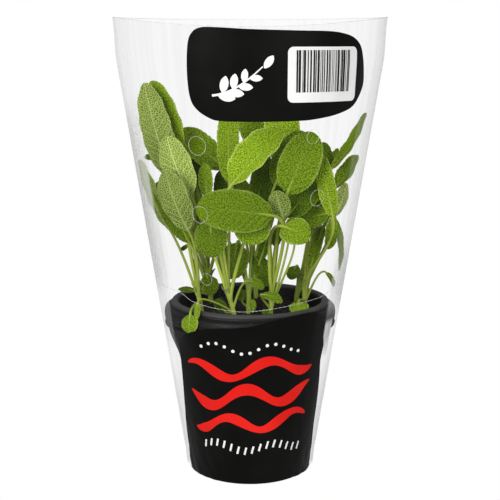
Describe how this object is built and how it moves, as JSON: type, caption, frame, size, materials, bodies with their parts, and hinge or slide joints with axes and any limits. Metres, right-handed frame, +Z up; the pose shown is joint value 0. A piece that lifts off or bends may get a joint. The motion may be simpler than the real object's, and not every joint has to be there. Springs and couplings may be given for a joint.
{
  "type": "potted sage",
  "caption": "Bushy young sage in a round black nursery pot, standing in a clear tapered plastic sleeve with an open top, punched vents and plain printed patches.",
  "frame": {"origin": "on the surface that the pot stands on, under the middle of the pot", "axes": "+Z up along the pot's axis, -Y towards the printed front of the sleeve, +X to the right seen from the front"},
  "size_m": [0.173, 0.1719, 0.29],
  "materials": {
    "pot_plastic": "moulded black plastic with a soft sheen",
    "soil": "damp, crumbly potting soil",
    "film": "thin clear glossy film",
    "print": "opaque black ink on the film",
    "foliage": "soft, finely pebbled grey-green leaf"
  },
  "bodies": {
    "root": {"pot": "pot_plastic", "soil": "soil", "sleeve": "film", "plant_left": "foliage", "plant_front": "foliage", "plant_middle": "foliage", "plant_right_middle": "foliage", "plant_right": "foliage", "plant_back_left": "foliage", "plant_back_middle": "foliage", "plant_back_right": "foliage"}
  },
  "joints": []
}
